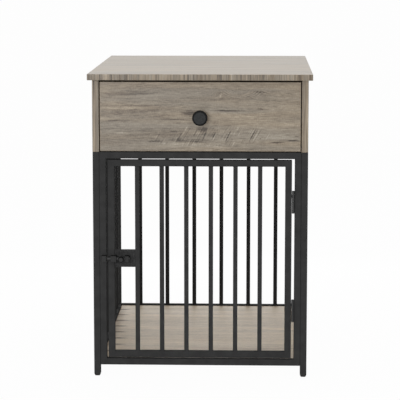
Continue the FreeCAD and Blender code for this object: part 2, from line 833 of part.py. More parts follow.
def drilled_member(side, section, x_face):
    """Slide rail with its screw holes."""
    member = placed(side, section, slide_front, slide_length)
    reach = Vec(2 * slide_sheet, 0, 0)
    for place in rail_screw_places:
        middle = Vec(side * x_face, place, slide_middle)
        member = member.cut(peg(rail_screw_radius + screw_play, middle - reach, middle + reach))
    return member


cage_length = 2 * cage_end + (ball_count - 1) * ball_pitch
cage_front = slide_front + drawer_travel / 2 + cage_spare
ball_places = [cage_front + cage_end + number * ball_pitch for number in range(ball_count)]


def ball_centres(side):
    """Centres of the balls of one slide, in two rows."""
    return [
        Vec(side * (x_cabinet - ball_line), place, slide_middle + row * ball_row)
        for row in (-1, 1)
        for place in ball_places
    ]


def ball(centre):
    """Steel ball."""
    tilts = [radians(tilt) for tilt in spread(-67.5, 67.5, ball_sides // 2)]
    profile = [(ball_radius * cos(tilt), ball_radius * sin(tilt)) for tilt in tilts]
    return turned(profile, ball_sides, centre, Vec(0, 0, 1))


def ball_cage(side):
    """Strip bent into a channel, with a pocket for each ball."""
    reach = ball_row + cage_sheet / 2
    bend = reach - cage_sheet
    web_end = cage_line + cage_sheet
    section = both_rows([(cage_line, reach), (cage_reach, reach), (cage_reach, bend), (web_end, bend)])
    cage = placed(side, section, cage_front, cage_length)
    pocket = ball_radius + cage_pocket_play
    for place in ball_places:
        for low in (-reach, bend):
            cage = cage.cut(strip(side, ball_line - pocket, ball_line + pocket, low, low + cage_sheet,
                                  place - pocket, 2 * pocket))
    return cage


for side, edge in SIDES:
    export("slide_outer_" + edge, drilled_member(side, cabinet_member(), x_cabinet))
    export("slide_inner_" + edge, drilled_member(side, drawer_member(), x_drawer))
    export("ball_cage_" + edge, ball_cage(side))
    export("slide_balls_" + edge, *[ball(centre) for centre in ball_centres(side)])
export("cabinet_slide_screws", *rail_screws(x_cabinet, 1))
export("drawer_slide_screws", *rail_screws(x_drawer, -1))
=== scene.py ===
import json
from math import atan2, pi, radians

import bmesh
import bpy
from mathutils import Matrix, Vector

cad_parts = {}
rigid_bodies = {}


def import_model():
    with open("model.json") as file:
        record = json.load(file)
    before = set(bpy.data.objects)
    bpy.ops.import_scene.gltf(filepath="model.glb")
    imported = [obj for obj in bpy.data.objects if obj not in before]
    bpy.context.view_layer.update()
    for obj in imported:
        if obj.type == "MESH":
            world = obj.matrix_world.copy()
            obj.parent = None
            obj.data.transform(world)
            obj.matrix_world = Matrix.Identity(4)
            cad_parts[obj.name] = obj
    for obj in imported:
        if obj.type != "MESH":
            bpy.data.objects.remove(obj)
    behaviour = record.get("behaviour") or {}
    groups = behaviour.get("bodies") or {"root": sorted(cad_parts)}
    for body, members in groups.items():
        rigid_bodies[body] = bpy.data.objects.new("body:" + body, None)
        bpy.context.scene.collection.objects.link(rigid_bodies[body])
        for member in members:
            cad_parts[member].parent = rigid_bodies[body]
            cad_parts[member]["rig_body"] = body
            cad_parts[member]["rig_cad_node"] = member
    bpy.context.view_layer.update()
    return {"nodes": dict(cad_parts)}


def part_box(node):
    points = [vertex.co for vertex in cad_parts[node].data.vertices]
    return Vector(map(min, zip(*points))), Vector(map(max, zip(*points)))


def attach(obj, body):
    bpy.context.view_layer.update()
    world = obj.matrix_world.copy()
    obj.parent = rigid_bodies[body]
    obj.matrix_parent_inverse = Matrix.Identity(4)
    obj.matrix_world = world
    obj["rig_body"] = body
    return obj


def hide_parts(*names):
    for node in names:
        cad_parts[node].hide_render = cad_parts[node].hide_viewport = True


# Dog crate end table: black steel tube crate below a wooden cabinet with one drawer. Metres.

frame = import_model()

# ---------------------------------------------------------------- working by hand in a script

same_place = 0.000005
same_plane = radians(0.5)
smooth_below = radians(40)
sharp_corner = radians(50)
aligned = 0.99


def pick(piece):
    """Makes one piece the only selected and active one."""
    bpy.ops.object.select_all(action="DESELECT")
    piece.select_set(True)
    bpy.context.view_layer.objects.active = piece


def settle(piece):
    """Puts the place, turn and size of a piece into its mesh."""
    pick(piece)
    bpy.ops.object.transform_apply(location=True, rotation=True, scale=True)
    return piece


def modify(piece, kind, **settings):
    """Adds a modifier to a piece and applies it."""
    modifier = piece.modifiers.new(kind.title(), kind)
    for name, value in settings.items():
        setattr(modifier, name, value)
    pick(piece)
    bpy.ops.object.modifier_apply(modifier=modifier.name)


def smooth(piece):
    """Smooth shading that stays flat on the large faces."""
    pick(piece)
    bpy.ops.object.shade_smooth_by_angle(angle=smooth_below)
    modify(piece, "WEIGHTED_NORMAL", keep_sharp=True)


def eased(piece, width, segments=3, angle=30):
    """Rounds the edges of a piece where its faces meet at more than an angle."""
    modify(piece, "BEVEL", width=width, segments=segments, limit_method="ANGLE", angle_limit=radians(angle))
    smooth(piece)
    return piece


def edit(piece):
    """Opens a piece in edit mode with nothing selected."""
    pick(piece)
    bpy.ops.object.mode_set(mode="EDIT")
    bpy.ops.mesh.select_all(action="DESELECT")


def done():
    """Closes edit mode."""
    bpy.ops.object.mode_set(mode="OBJECT")


def choose(piece, kind, wanted):
    """Selects the faces or edges of the piece in edit mode that pass a test."""
    bpy.ops.mesh.select_mode(type=kind)
    bpy.ops.mesh.select_all(action="DESELECT")
    mesh = bmesh.from_edit_mesh(piece.data)
    for item in mesh.faces if kind == "FACE" else mesh.edges:
        if wanted(item):
            item.select_set(True)
    bmesh.update_edit_mesh(piece.data)


def facing(direction):
    """Test for faces that look along a direction."""
    return lambda face: face.normal.dot(Vector(direction)) > aligned


def running(axis):
    """Test for edges that run along an axis, 0 to 2 for X to Z."""
    def wanted(edge):
        run = edge.verts[1].co - edge.verts[0].co
        return abs(run[axis]) > aligned * run.length
    return wanted


def block(name, low, high):
    """Square block between two corners."""
    low, high = Vector(low), Vector(high)
    bpy.ops.object.select_all(action="DESELECT")
    bpy.ops.mesh.primitive_cube_add(size=1, location=(low + high) / 2)
    piece = bpy.context.object
    piece.name = name
    piece.scale = high - low
    return settle(piece)


def turned(name, start, direction, profile, sides=48):
    """Turned piece: a disc whose end is drawn out through (radius, distance) steps along a direction."""
    bpy.ops.object.select_all(action="DESELECT")
    bpy.ops.mesh.primitive_circle_add(vertices=sides, radius=profile[0][0], fill_type="NGON")
    piece = bpy.context.object
    piece.name = name
    edit(piece)
    bpy.ops.mesh.select_all(action="SELECT")
    for (before, low), (radius, high) in zip(profile, profile[1:]):
        bpy.ops.mesh.extrude_region_move(TRANSFORM_OT_translate={"value": (0, 0, high - low)})
        share = radius / before
        bpy.ops.transform.resize(value=(share, share, 1), center_override=(0, 0, high - profile[0][1]))
    bpy.ops.mesh.select_all(action="SELECT")
    bpy.ops.mesh.normals_make_consistent(inside=False)
    done()
    piece.rotation_euler = Vector((0, 0, 1)).rotation_difference(Vector(direction)).to_euler()
    piece.location = Vector(start) + Vector(direction) * profile[0][1]
    return settle(piece)


def joined(name, pieces):
    """Makes one piece of several."""
    bpy.ops.object.select_all(action="DESELECT")
    for piece in pieces:
        piece.select_set(True)
    bpy.context.view_layer.objects.active = pieces[0]
    bpy.ops.object.join()
    pieces[0].name = name
    return pieces[0]


def copied(piece, offset):
    """Another of the same piece, with its own mesh, moved by an offset."""
    other = piece.copy()
    other.data = piece.data.copy()
    bpy.context.scene.collection.objects.link(other)
    other.location = offset
    return settle(other)


def repeated(name, model, places):
    """Copies of a piece that was modelled about the origin, at every place, as one piece."""
    pieces = [copied(model, place) for place in places]
    bpy.data.objects.remove(model)
    return joined(name, pieces)


def dressed(node, width=0.0):
    """Copy of a CAD node with welded corners and, where there is a width, eased edges."""
    source = frame["nodes"][node]
    piece = source.copy()
    piece.data = source.data.copy()
    piece.parent = None
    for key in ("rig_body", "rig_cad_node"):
        del piece[key]
    bpy.context.scene.collection.objects.link(piece)
    piece.name = node + "_dressed"
    piece.data.materials.clear()
    edit(piece)
    bpy.ops.mesh.select_all(action="SELECT")
    bpy.ops.mesh.remove_doubles(threshold=same_place)
    bpy.ops.mesh.dissolve_limited(angle_limit=same_plane)
    done()
    if width:
        modify(piece, "BEVEL", width=width, segments=2, limit_method="ANGLE", angle_limit=sharp_corner)
    smooth(piece)
    return piece


def solids_of(node):
    """Lowest and highest corner of each solid of a CAD node."""
    copy = dressed(node)
    edit(copy)
    bpy.ops.mesh.select_all(action="SELECT")
    bpy.ops.mesh.separate(type="LOOSE")
    done()
    boxes = []
    for part in list(bpy.context.selected_objects):
        corners = [vertex.co for vertex in part.data.vertices]
        low = Vector([min(corner[axis] for corner in corners) for axis in range(3)])
        high = Vector([max(corner[axis] for corner in corners) for axis in range(3)])
        boxes.append((low, high))
        bpy.data.objects.remove(part)
    return sorted(boxes, key=lambda box: tuple(box[0]))


def fit(piece, body, finishes, node):
    """Puts a piece on its body, in one finish or a list of them, in place of a CAD node."""
    for material in finishes if isinstance(finishes, list) else [finishes]:
        piece.data.materials.append(material)
    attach(piece, body)
    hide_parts(node)
    return piece


def painted(piece, number_for):
    """Gives each face one of the piece's finishes, by the number that a rule gives for its normal."""
    for face in piece.data.polygons:
        face.material_index = number_for(face.normal)


def knob_part(normal):
    """Rule for knobs: the first finish on the flat front, the second, a darker copy that paints shade, on
    all the rest.
    """
    return 0 if normal.y < -0.98 else 1


# ---------------------------------------------------------------- writing a finish


class Shade:
    """One output in a material's nodes. Sums written on it become Math nodes."""

    def __init__(self, tree, socket=None):
        self.tree = tree
        self.socket = socket

    def node(self, kind, settings=None, inputs=None, output=0):
        """Adds a node of any kind, its settings first, then the values or links of its inputs."""
        made = self.tree.nodes.new(kind)
        for name, value in (settings or {}).items():
            if name == "stops":
                self.set_stops(made.color_ramp, value)
            else:
                setattr(made, name, value)
        for name, value in (inputs or {}).items():
            if isinstance(value, Shade):
                self.tree.links.new(value.socket, made.inputs[name])
            else:
                made.inputs[name].default_value = value
        return Shade(self.tree, made.outputs[output])

    @staticmethod
    def set_stops(ramp, stops):
        """Gives a ramp its stops, each a position and a colour."""
        while len(ramp.elements) < len(stops):
            ramp.elements.new(1)
        for element, (position, colour) in zip(ramp.elements, stops):
            element.position = position
            element.color = (*colour, 1)

    def beside(self, output):
        """Another output of the same node."""
        return Shade(self.tree, self.socket.node.outputs[output])

    def sums(self, operation, *values):
        """Math node on values that are numbers or other outputs."""
        return self.node("ShaderNodeMath", {"operation": operation}, dict(enumerate(values)))

    def maths(self, operation, *values):
        """Math node whose first value is this output."""
        return self.sums(operation, self, *values)

    def __add__(self, other):
        return self.maths("ADD", other)

    def __sub__(self, other):
        return self.maths("SUBTRACT", other)

    def __rsub__(self, other):
        return self.sums("SUBTRACT", other, self)

    def __mul__(self, other):
        return self.maths("MULTIPLY", other)

    def __truediv__(self, other):
        return self.maths("DIVIDE", other)

    def __pow__(self, other):
        return self.maths("POWER", other)

    __radd__ = __add__
    __rmul__ = __mul__

    def within(self, low, high):
        """0 below low, 1 above high, and smooth between."""
        settings = {"interpolation_type": "SMOOTHSTEP"}
        return self.node("ShaderNodeMapRange", settings, {"Value": self, "From Min": low, "From Max": high})

    def ramp(self, *stops):
        """Colour of a ramp at this value."""
        return self.node("ShaderNodeValToRGB", {"stops": stops}, {0: self})

    def noise(self, place, scale, detail=3.0, roughness=0.55, distortion=0.0):
        """Noise on a place stretched by a scale along each axis."""
        stretched = self.node("ShaderNodeMapping", None, {"Vector": place, "Scale": scale})
        return self.node("ShaderNodeTexNoise", None, {
            "Vector": stretched,
            "Scale": 1.0,
            "Detail": detail,
            "Roughness": roughness,
            "Distortion": distortion,
        })

    def blended(self, share, first, second):
        """Colours mixed by a share."""
        return self.node("ShaderNodeMix", {"data_type": "RGBA"}, {0: share, 6: first, 7: second}, 2)


def new_finish(name, **sockets):
    """A material, its principled shader, and a Shade to write nodes with."""
    material = bpy.data.materials.new(name)
    material.use_nodes = True
    tree = material.node_tree
    shader = tree.nodes["Principled BSDF"]
    for socket, value in sockets.items():
        shader.inputs[socket.replace("_", " ")].default_value = value
    shade = Shade(tree)
    place = shade.node("ShaderNodeTexCoord", output="Object")
    return material, shader, shade, place


def feed(shade, shader, colour, roughness, height, strength, depth):
    """Links what varies over a surface to the shader: colour, roughness and, through a bump, height."""
    links = shade.tree.links
    links.new(colour.socket, shader.inputs["Base Color"])
    links.new(roughness.socket, shader.inputs["Roughness"])
    bump = shade.node("ShaderNodeBump", None, {"Strength": strength, "Distance": depth, "Height": height})
    links.new(bump.socket, shader.inputs["Normal"])


def tone(red, green, blue):
    """Screen colour, 0 to 255, as the linear colour that shaders use."""
    return tuple(((part / 255 + 0.055) / 1.055) ** 2.4 for part in (red, green, blue))


axis_number = {"x": 0, "y": 1, "z": 2}
grey_oak = (
    (0.04, tone(66, 57, 47)),
    (0.28, tone(106, 96, 83)),
    (0.50, tone(135, 125, 111)),
    (0.72, tone(155, 145, 130)),
    (0.96, tone(182, 173, 158)),
)
tan_oak = (
    (0.04, tone(70, 57, 44)),
    (0.28, tone(112, 97, 80)),
    (0.50, tone(143, 129, 110)),
    (0.72, tone(167, 152, 131)),
    (0.96, tone(196, 182, 160)),
)


def neutral(level):
    """Colour without a hue."""
    return (level, level, level)


def lighter(stops, share):
    """Stops of a ramp with every colour brighter by a share."""
    return tuple((position, tuple(part * share for part in colour)) for position, colour in stops)


# In half sizes of a figure: where its bowls fade outwards, and where they end below its centre.
figure_fade = (0.55, 1.1)
figure_rim = (-0.35, 0.0)
ring_wobble = 16
ring_depth = 0.17


def grain_field(run, over, figures, wobble):
    """Place across the grain, bent like bowls round each figure, and the figures' rings from -1 to 1.

    A figure is its centre, half length, half width and number of rings. It fades out above its centre."""
    field = over
    rings = 0
    for centre_run, centre_over, length, width, turns in figures:
        along = (run - centre_run) / length
        aside = (over - centre_over) / width
        reach = (along * along + aside * aside) ** 0.5
        near = (1 - reach.within(*figure_fade)) * (1 - aside.within(*figure_rim))
        field = field + near * (centre_over - reach * width - field)
        if turns:
            rings = rings + near * (2 * pi * turns * reach + ring_wobble * wobble).maths("SINE")
    return field, rings


mark_core = 0.15
through_board = 1000


def strokes(shade, place, across, marks):
    """Sum of tapered marks, each from one point to another with a width and a depth.

    A depth below 0 darkens, one above 0 lightens."""
    total = 0
    rise = axis_number[across]
    flat = 3 - rise
    for start, end, width, depth in marks:
        middle = [0, 0, 0]
        middle[0] = (start[0] + end[0]) / 2
        middle[rise] = (start[1] + end[1]) / 2
        span = Vector((end[0] - start[0], end[1] - start[1]))
        turn = [0, 0, 0]
        turn[flat] = atan2(span.y, span.x) * (-1 if across == "z" else 1)
        size = [span.length / 2, 1, 1]
        size[rise] = width / 2
        size[flat] = through_board
        inside = shade.node("ShaderNodeMapping", {"vector_type": "TEXTURE"}, {
            "Vector": place,
            "Location": middle,
            "Rotation": turn,
            "Scale": size,
        })
        reach = shade.node("ShaderNodeVectorMath", {"operation": "LENGTH"}, {0: inside}, "Value")
        total = total + depth * (1 - reach.within(mark_core, 1.0))
    return total


saw_pitch = (250, 18, 1)
saw_breaks = (30, 40, 1)


def hatching(shade, run, over, sawn):
    """Slanting saw marks in a stretch of the board.

    The stretch is its centre, half length, half height and the lean of its marks."""
    centre_run, centre_over, length, height, lean = sawn
    slanted = shade.node("ShaderNodeCombineXYZ", None, {0: run - lean * over, 1: over})
    cut = shade.noise(slanted, saw_pitch, 2, 0.5)
    pale_cuts = 0.38 * (1 - cut.within(0.32, 0.46))
    dark_cuts = 0.28 * cut.within(0.54, 0.66)
    cuts = pale_cuts - dark_cuts
    along = (run - centre_run) / length
    aside = (over - centre_over) / height
    near = 1 - (along * along * along * along + aside * aside).within(0.4, 1.0)
    return cuts * near * shade.noise(slanted, saw_breaks, 2).within(0.40, 0.56)


mark_jitter = 0.004
noise_slice = 0.37


def laminate(name, along, across, offset=(0, 0, 0), figures=(), marks=(), sawn=None,
             contrast=1.0, light=1.0, gloss=0.5, dull=0.34, parting=(0.38, 0.62)):
    """Weathered oak laminate: grey and tan streaks along one axis, flecks, figures and marks.

    The offset takes another stretch of the pattern, and parting is where grey turns into tan."""
    material, shader, shade, place = new_finish(name, Specular_IOR_Level=gloss)
    here = shade.node("ShaderNodeVectorMath", {"operation": "ADD"}, {0: place, 1: offset})
    apart = shade.node("ShaderNodeSeparateXYZ", None, {0: here}, axis_number[along])
    over = apart.beside(axis_number[across])

    def stretch(with_grain, against):
        return tuple(with_grain if axis == axis_number[along] else against for axis in range(3))

    # The grain wanders and ripples across its run, and bends round the figures.
    drift = shade.noise(here, stretch(3.5, 14), 2) - 0.5
    ripple = shade.noise(here, stretch(16, 60), 2) - 0.5
    bent, rings = grain_field(apart, over, figures, ripple)
    field = bent + 0.016 * drift + 0.0026 * ripple
    lines = shade.node("ShaderNodeCombineXYZ", None, {0: apart, 1: field, 2: noise_slice})

    # Streaks from broad to fine, all along the bent grain.
    broad = shade.noise(lines, (1.8, 26, 1), 3, 0.5) - 0.5
    streak = shade.noise(lines, (7, 130, 1), 4, 0.65) - 0.5
    fibre = shade.noise(lines, (52, 420, 1), 3, 0.7) - 0.5
    dash = shade.noise(lines, (60, 460, 1), 2, 0.5)
    ragged = shade.noise(lines, (9, 30, 1), 3, 0.6)
    weave = shade.noise(here, stretch(420, 190), 3, 0.7) - 0.5
    fleck = dash.within(0.54, 0.66) * ragged.within(0.44, 0.60)
    scrape = shade.noise(lines, (5, 260, 1), 3, 0.6).within(0.58, 0.70)
    value = 0.55 + contrast * (0.62 * broad + 0.58 * streak + 0.88 * fibre + 0.52 * weave)
    value = value - contrast * (0.20 * fleck + 0.14 * scrape)
    value = value + ring_depth * contrast * rings * (0.35 + ragged.within(0.42, 0.58))

    if sawn:
        value = value + hatching(shade, apart, over, sawn)
    if marks:
        settings = {"Vector": here, "Scale": 230.0, "Detail": 2.0}
        jitter = shade.node("ShaderNodeTexNoise", None, settings, "Color")
        shift = shade.node("ShaderNodeVectorMath", {"operation": "MULTIPLY_ADD"},
                           {0: jitter, 1: 3 * (mark_jitter,), 2: 3 * (-mark_jitter / 2,)})
        worn_place = shade.node("ShaderNodeVectorMath", {"operation": "ADD"}, {0: here, 1: shift})
        broken = 0.7 + 1.1 * shade.noise(here, (300, 300, 300), 2, 0.6)
        value = value + strokes(shade, worn_place, across, marks) * broken

    hue = shade.noise(lines, (2.4, 34, 1), 3, 0.55).within(*parting)
    grey = value.ramp(*lighter(grey_oak, light))
    tan = value.ramp(*lighter(tan_oak, light))
    colour = shade.blended(hue, grey, tan)
    feed(shade, shader, colour, dull + 0.3 * fibre - 0.12 * streak, value, 0.25, 0.0002)
    return material


def edge_band(name, scale, offset=(0, 0, 0), contrast=1.0, light=1.0):
    """Edge banding of the boards: narrow light and dark streaks across or along the edge."""
    material, shader, shade, place = new_finish(name, Specular_IOR_Level=0.5)
    here = shade.node("ShaderNodeVectorMath", {"operation": "ADD"}, {0: place, 1: offset})

    def finer(times):
        return tuple(times * part for part in scale)

    wide = shade.noise(here, finer(0.22), 2) - 0.5
    narrow = shade.noise(here, scale, 3, 0.6) - 0.5
    fine = shade.noise(here, finer(2.6), 2) - 0.5
    dark = shade.noise(here, finer(0.8), 2, 0.4, 0.2).within(0.60, 0.70)
    value = 0.50 + contrast * (0.5 * wide + 0.9 * narrow + 0.5 * fine - 0.24 * dark)
    hue = shade.noise(here, finer(0.5), 2).within(0.35, 0.65)
    grey = value.ramp(*lighter(grey_oak, light))
    tan = value.ramp(*lighter(tan_oak, light))
    colour = shade.blended(hue, grey, tan)
    feed(shade, shader, colour, 0.4 + 0.2 * fine, value, 0.2, 0.0002)
    return material


def powder_coat(name, colour, roughness, gloss, grain=1400, clouds=45, depth=0.16):
    """Powder coat with its fine orange peel, from matt to satin. Clouds vary its colour by a depth."""
    material, shader, shade, place = new_finish(name, Specular_IOR_Level=gloss)
    peel = shade.noise(place, (grain, grain, grain), 2)
    cloud = shade.noise(place, (clouds, clouds, clouds), 3)
    low = tuple(part * (1 - depth) for part in colour)
    high = tuple(part * (1 + depth) for part in colour)
    mottled = (0.6 * cloud + 0.4 * peel).ramp((0.36, low), (0.64, high))
    matt = roughness + 0.16 * (cloud - 0.5) + 0.1 * (peel - 0.5)
    feed(shade, shader, mottled, matt, peel, 0.22, 0.00012)
    return material


def plain_metal(name, colour, roughness, along):
    """Zinc plated steel, faintly brushed along one axis."""
    material, shader, shade, place = new_finish(name, Metallic=1.0)
    scale = tuple(60 if axis == axis_number[along] else 2200 for axis in range(3))
    brush = shade.noise(place, scale, 3)
    cloud = shade.noise(place, (70, 70, 70), 3)
    low = tuple(part * 0.82 for part in colour)
    mottled = (0.5 * cloud + 0.5 * brush).ramp((0.3, low), (0.7, colour))
    matt = roughness + 0.22 * (brush - 0.5) + 0.18 * (cloud - 0.5)
    feed(shade, shader, mottled, matt, brush, 0.12, 0.0001)
    return material


def moulded(name, colour, roughness):
    """Matt moulded plastic with a fine spark texture."""
    material, shader, shade, place = new_finish(name, Specular_IOR_Level=0.4)
    spark = shade.noise(place, (1800, 1800, 1800), 3)
    cloud = shade.noise(place, (80, 80, 80), 2)
    low = tuple(part * 0.8 for part in colour)
    high = tuple(part * 1.2 for part in colour)
    mottled = (0.7 * cloud + 0.3 * spark).ramp((0.3, low), (0.7, high))
    feed(shade, shader, mottled, roughness + 0.2 * (spark - 0.5), spark, 0.3, 0.00015)
    return material


# Marks of the drawer front: start, end, width and depth, in the plane of the board. Most are saw cuts, worn
# lines and spots; among the spots are a painted shadow below the knob and a painted highlight along the
# bottom edge.
saw_cuts = [
    ((0.003, 0.543), (0.018, 0.5765), 0.004, -0.5),
    ((0.025, 0.542), (0.036, 0.572), 0.0036, -0.44),
    ((0.055, 0.54), (0.072, 0.5756), 0.0042, -0.6),
    ((0.108, 0.54), (0.129, 0.579), 0.0042, -0.62),
]
worn_lines = [
    ((-0.236, 0.592), (-0.15, 0.594), 0.006, -0.24),
    ((-0.114, 0.596), (-0.018, 0.596), 0.0034, -0.26),
    ((-0.052, 0.611), (0.002, 0.611), 0.021, -0.36),
    ((0.012, 0.6164), (0.105, 0.6164), 0.0052, -0.38),
    ((-0.25, 0.655), (-0.07, 0.655), 0.015, -0.17),
    ((-0.24, 0.625), (-0.02, 0.63), 0.0036, -0.2),
    ((0.029, 0.536), (0.127, 0.536), 0.0028, -0.24),
    ((0.15, 0.5435), (0.196, 0.5445), 0.0046, -0.4),
    ((0.19, 0.547), (0.228, 0.55), 0.0046, -0.44),
    ((-0.245, 0.62), (-0.07, 0.622), 0.0064, 0.18),
    ((-0.2, 0.5645), (-0.16, 0.5645), 0.007, 0.26),
]
spots_wear_and_painted_light = [
    ((-0.128, 0.546), (-0.078, 0.546), 0.0056, -0.4),
    ((-0.075, 0.5684), (-0.037, 0.5684), 0.0046, -0.28),
    ((-0.056, 0.549), (-0.04, 0.552), 0.012, -0.3),
    ((-0.095, 0.5475), (0.05, 0.5475), 0.013, -0.2),
    ((0.1335, 0.553), (0.1385, 0.553), 0.006, -0.36),
    ((0.212, 0.558), (0.226, 0.558), 0.005, -0.32),
    ((0.083, 0.665), (0.097, 0.665), 0.0036, -0.26),
    ((0.116, 0.6585), (0.162, 0.6585), 0.004, -0.26),
    ((0.043, 0.642), (0.05, 0.656), 0.0056, 0.26),
    # Painted shadow below the knob.
    ((-0.012, 0.573), (0.022, 0.573), 0.016, -0.48),
    ((-0.29, 0.607), (0.03, 0.607), 0.042, -0.14),
    ((-0.06, 0.5655), (0.3, 0.5655), 0.05, 0.2),
    # Painted highlight along the bottom edge of the drawer front.
    ((-0.28, 0.536), (0.18, 0.536), 0.023, 0.17),
]
# Painted shadows on the crate floor: a row of short dark ones at its left edge, cast by the side bars, on
# one long faint band of painted shade.
bar_shadow_pitch = 0.0695
floor_painted_shadows = []
for step in range(9):
    bar_shadow_y = 0.265 - bar_shadow_pitch * step
    start = (-0.264 + 0.001 * step, bar_shadow_y)
    end = (-0.192 + 0.003 * step, bar_shadow_y - 0.002)
    floor_painted_shadows.append((start, end, 0.018, -0.56))
floor_painted_shadows.append(((-0.2285, -0.6), (-0.2285, 0.6), 0.050, -0.16))

top_figures = [(0.25, 0.3, 0.30, 0.06, 0), (0.52, -0.02, 0.2, 0.04, 0)]
top_face = laminate("oak_top_face", "x", "y", (0.31, 0.12, 0.4), top_figures,
                    contrast=0.55, light=0.93, gloss=0.8)
top_edge = edge_band("oak_top_front_edge", (330, 3, 9), (0.2, 0, 0), contrast=1.6)
top_side_edge = edge_band("oak_top_side_edge", (3, 330, 9), (0, 0.4, 0), contrast=1.6)
side_face = laminate("oak_side_face", "y", "z", (0.2, 0.7, 0.15), [(0.65, 0.78, 0.26, 0.05, 8)])
side_edge = edge_band("oak_side_edge", (330, 60, 7), (0.1, 0, 0.3), contrast=1.7)
front_face = laminate("oak_drawer_face", "x", "z", marks=saw_cuts + worn_lines + spots_wear_and_painted_light,
                      figures=[(0.088, 0.666, 0.066, 0.030, 10)],
                      sawn=(0.022, 0.557, 0.150, 0.026, 0.58))
# Side and bottom edges of the drawer front, brightened (light 1.9) where they catch light: painted
# highlight.
front_edge = edge_band("oak_drawer_rim_painted_highlight", (5, 60, 300), (0.3, 0, 0), contrast=0.6, light=1.9)
# Top edge of the drawer front, darkened (light 0.7) where it sits in the gap under the table top: painted
# shade.
painted_shade_drawer_top = edge_band("oak_drawer_top_painted_shade", (5, 60, 300), (0.3, 0, 0), contrast=0.6, light=0.7)
inner_face = laminate("oak_inner_face", "y", "x", (0.9, 0.3, 0.2))
# The floor laminate is brightened (light 2.25) to stand in for light and sheen that the cabinet above
# shades off: painted light.
floor_grain_and_painted_light = laminate("oak_floor_grain_painted_light", "x", "y", figures=[(-0.10, 0.05, 0.3, 0.06, 0)], marks=floor_painted_shadows,
                      contrast=0.55, light=2.25, gloss=0.3, dull=0.55, parting=(0.0, 1.0))
# Dark edges of the crate floor board, which sit in shadow inside the crate: painted shade.
floor_rim_painted_shade = powder_coat("painted_shade_floor_rim", neutral(0.012), 0.7, 0.2)
drawer_face = laminate("oak_drawer_box", "y", "z", (0.6, 0.2, 0.8), contrast=0.7)
drawer_cross = laminate("oak_drawer_back", "x", "z", (0.1, 0.5, 0.3), contrast=0.7)
black_coat = powder_coat("black_powder_coat", neutral(0.045), 0.88, 0.07)
# Darker copy of the black coat for the side bars, back bars and back rails, which sit in shade inside the
# crate: painted shade.
inner_bars_painted_shade = powder_coat("black_coat_painted_shade_inner", neutral(0.029), 0.88, 0.07)
latch_coat = powder_coat("black_latch_coat", neutral(0.042), 0.7, 0.12, grain=1800)
plate_coat = powder_coat("black_plate_coat", neutral(0.038), 0.75, 0.1, grain=1100, clouds=240, depth=0.55)
hinge_coat = powder_coat("black_hinge_coat", neutral(0.018), 0.42, 0.45, grain=1800)
rod_coat = powder_coat("black_rod_coat", neutral(0.034), 0.42, 0.28, grain=1800)
# Near-black copy of the latch coat for the tops and sides of the latch guides, keeper and knob: painted
# shade.
painted_shade_latch_sides = powder_coat("black_latch_side_faces_painted_shade", neutral(0.004), 0.7, 0.04, grain=1800)
knob_coat = powder_coat("black_knob_coat", (0.0185, 0.0200, 0.0205), 0.5, 0.22,
                        grain=900, clouds=330, depth=0.6)
# Darker copy of the knob coat for the knob's rim and stem: painted shade.
painted_shade_knob_sides = powder_coat("black_knob_sides_painted_shade", (0.010, 0.0105, 0.011), 0.62, 0.15, grain=1800)
bolt_black = powder_coat("black_oxide", neutral(0.03), 0.4, 0.3, grain=2200)
foot_black = moulded("black_foot_plastic", neutral(0.007), 0.6)
# The slides are darkened where they show in the drawer gaps, which are in shade: painted shade.
slides_painted_shade = plain_metal("zinc_darkened_painted_shade", (0.10, 0.10, 0.105), 0.42, "y")
zinc = plain_metal("zinc_plate", (0.66, 0.67, 0.69), 0.34, "y")

# ---------------------------------------------------------------- steel tubes

tube_size = 0.015
tube_corner = 0.0018
tube_wall = 0.0012
bolt_hole = 0.0032
access_hole = 0.0062


def drilled(piece, start, way, radius, length):
    """Cuts a round hole into a piece."""
    drill = turned("drill", start, way, [(radius, 0), (radius, length)], sides=32)
    modify(piece, "BOOLEAN", operation="DIFFERENCE", object=drill)
    bpy.data.objects.remove(drill)


def tube(node, axis, mitres=(), holes=()):
    """Square tube with rounded corners in place of a CAD tube, open at its ends.

    A mitre is a point and the way that it cuts off. A hole is its start, its way and its radius."""
    low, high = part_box(node)
    piece = block(node + "_tube", low, high)
    ends = [0, 0, 0]
    ends[axis] = 1
    edit(piece)
    choose(piece, "EDGE", running(axis))
    bpy.ops.mesh.bevel(offset=tube_corner, segments=5, affect="EDGES")
    choose(piece, "FACE", lambda face: abs(face.normal.dot(Vector(ends))) > aligned)
    bpy.ops.mesh.delete(type="FACE")
    for point, normal in mitres:
        bpy.ops.mesh.select_all(action="SELECT")
        bpy.ops.mesh.bisect(plane_co=point, plane_no=normal, clear_outer=True)
    done()
    modify(piece, "SOLIDIFY", thickness=tube_wall, offset=-1, use_even_offset=True)
    for start, way, radius in holes:
        drilled(piece, start, way, radius, tube_size)
    smooth(piece)
    return piece


def bolt_holes(node):
    """Holes of a leg for its bolts: the shank's in the inner wall, and a wide one outside for the head."""
    low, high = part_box(node)
    middle = (low + high) / 2
    outward = Vector((1 if middle.x > 0 else -1, 0, 0))
    holes = []
    for bolt_low, bolt_high in solids_of("frame_bolts"):
        seat = (bolt_low + bolt_high) / 2
        if abs(seat.y - middle.y) < tube_size and seat.x * middle.x > 0:
            start = Vector((middle.x, seat.y, seat.z))
            holes += [(start, outward, access_hole), (start, -outward, bolt_hole)]
    return holes


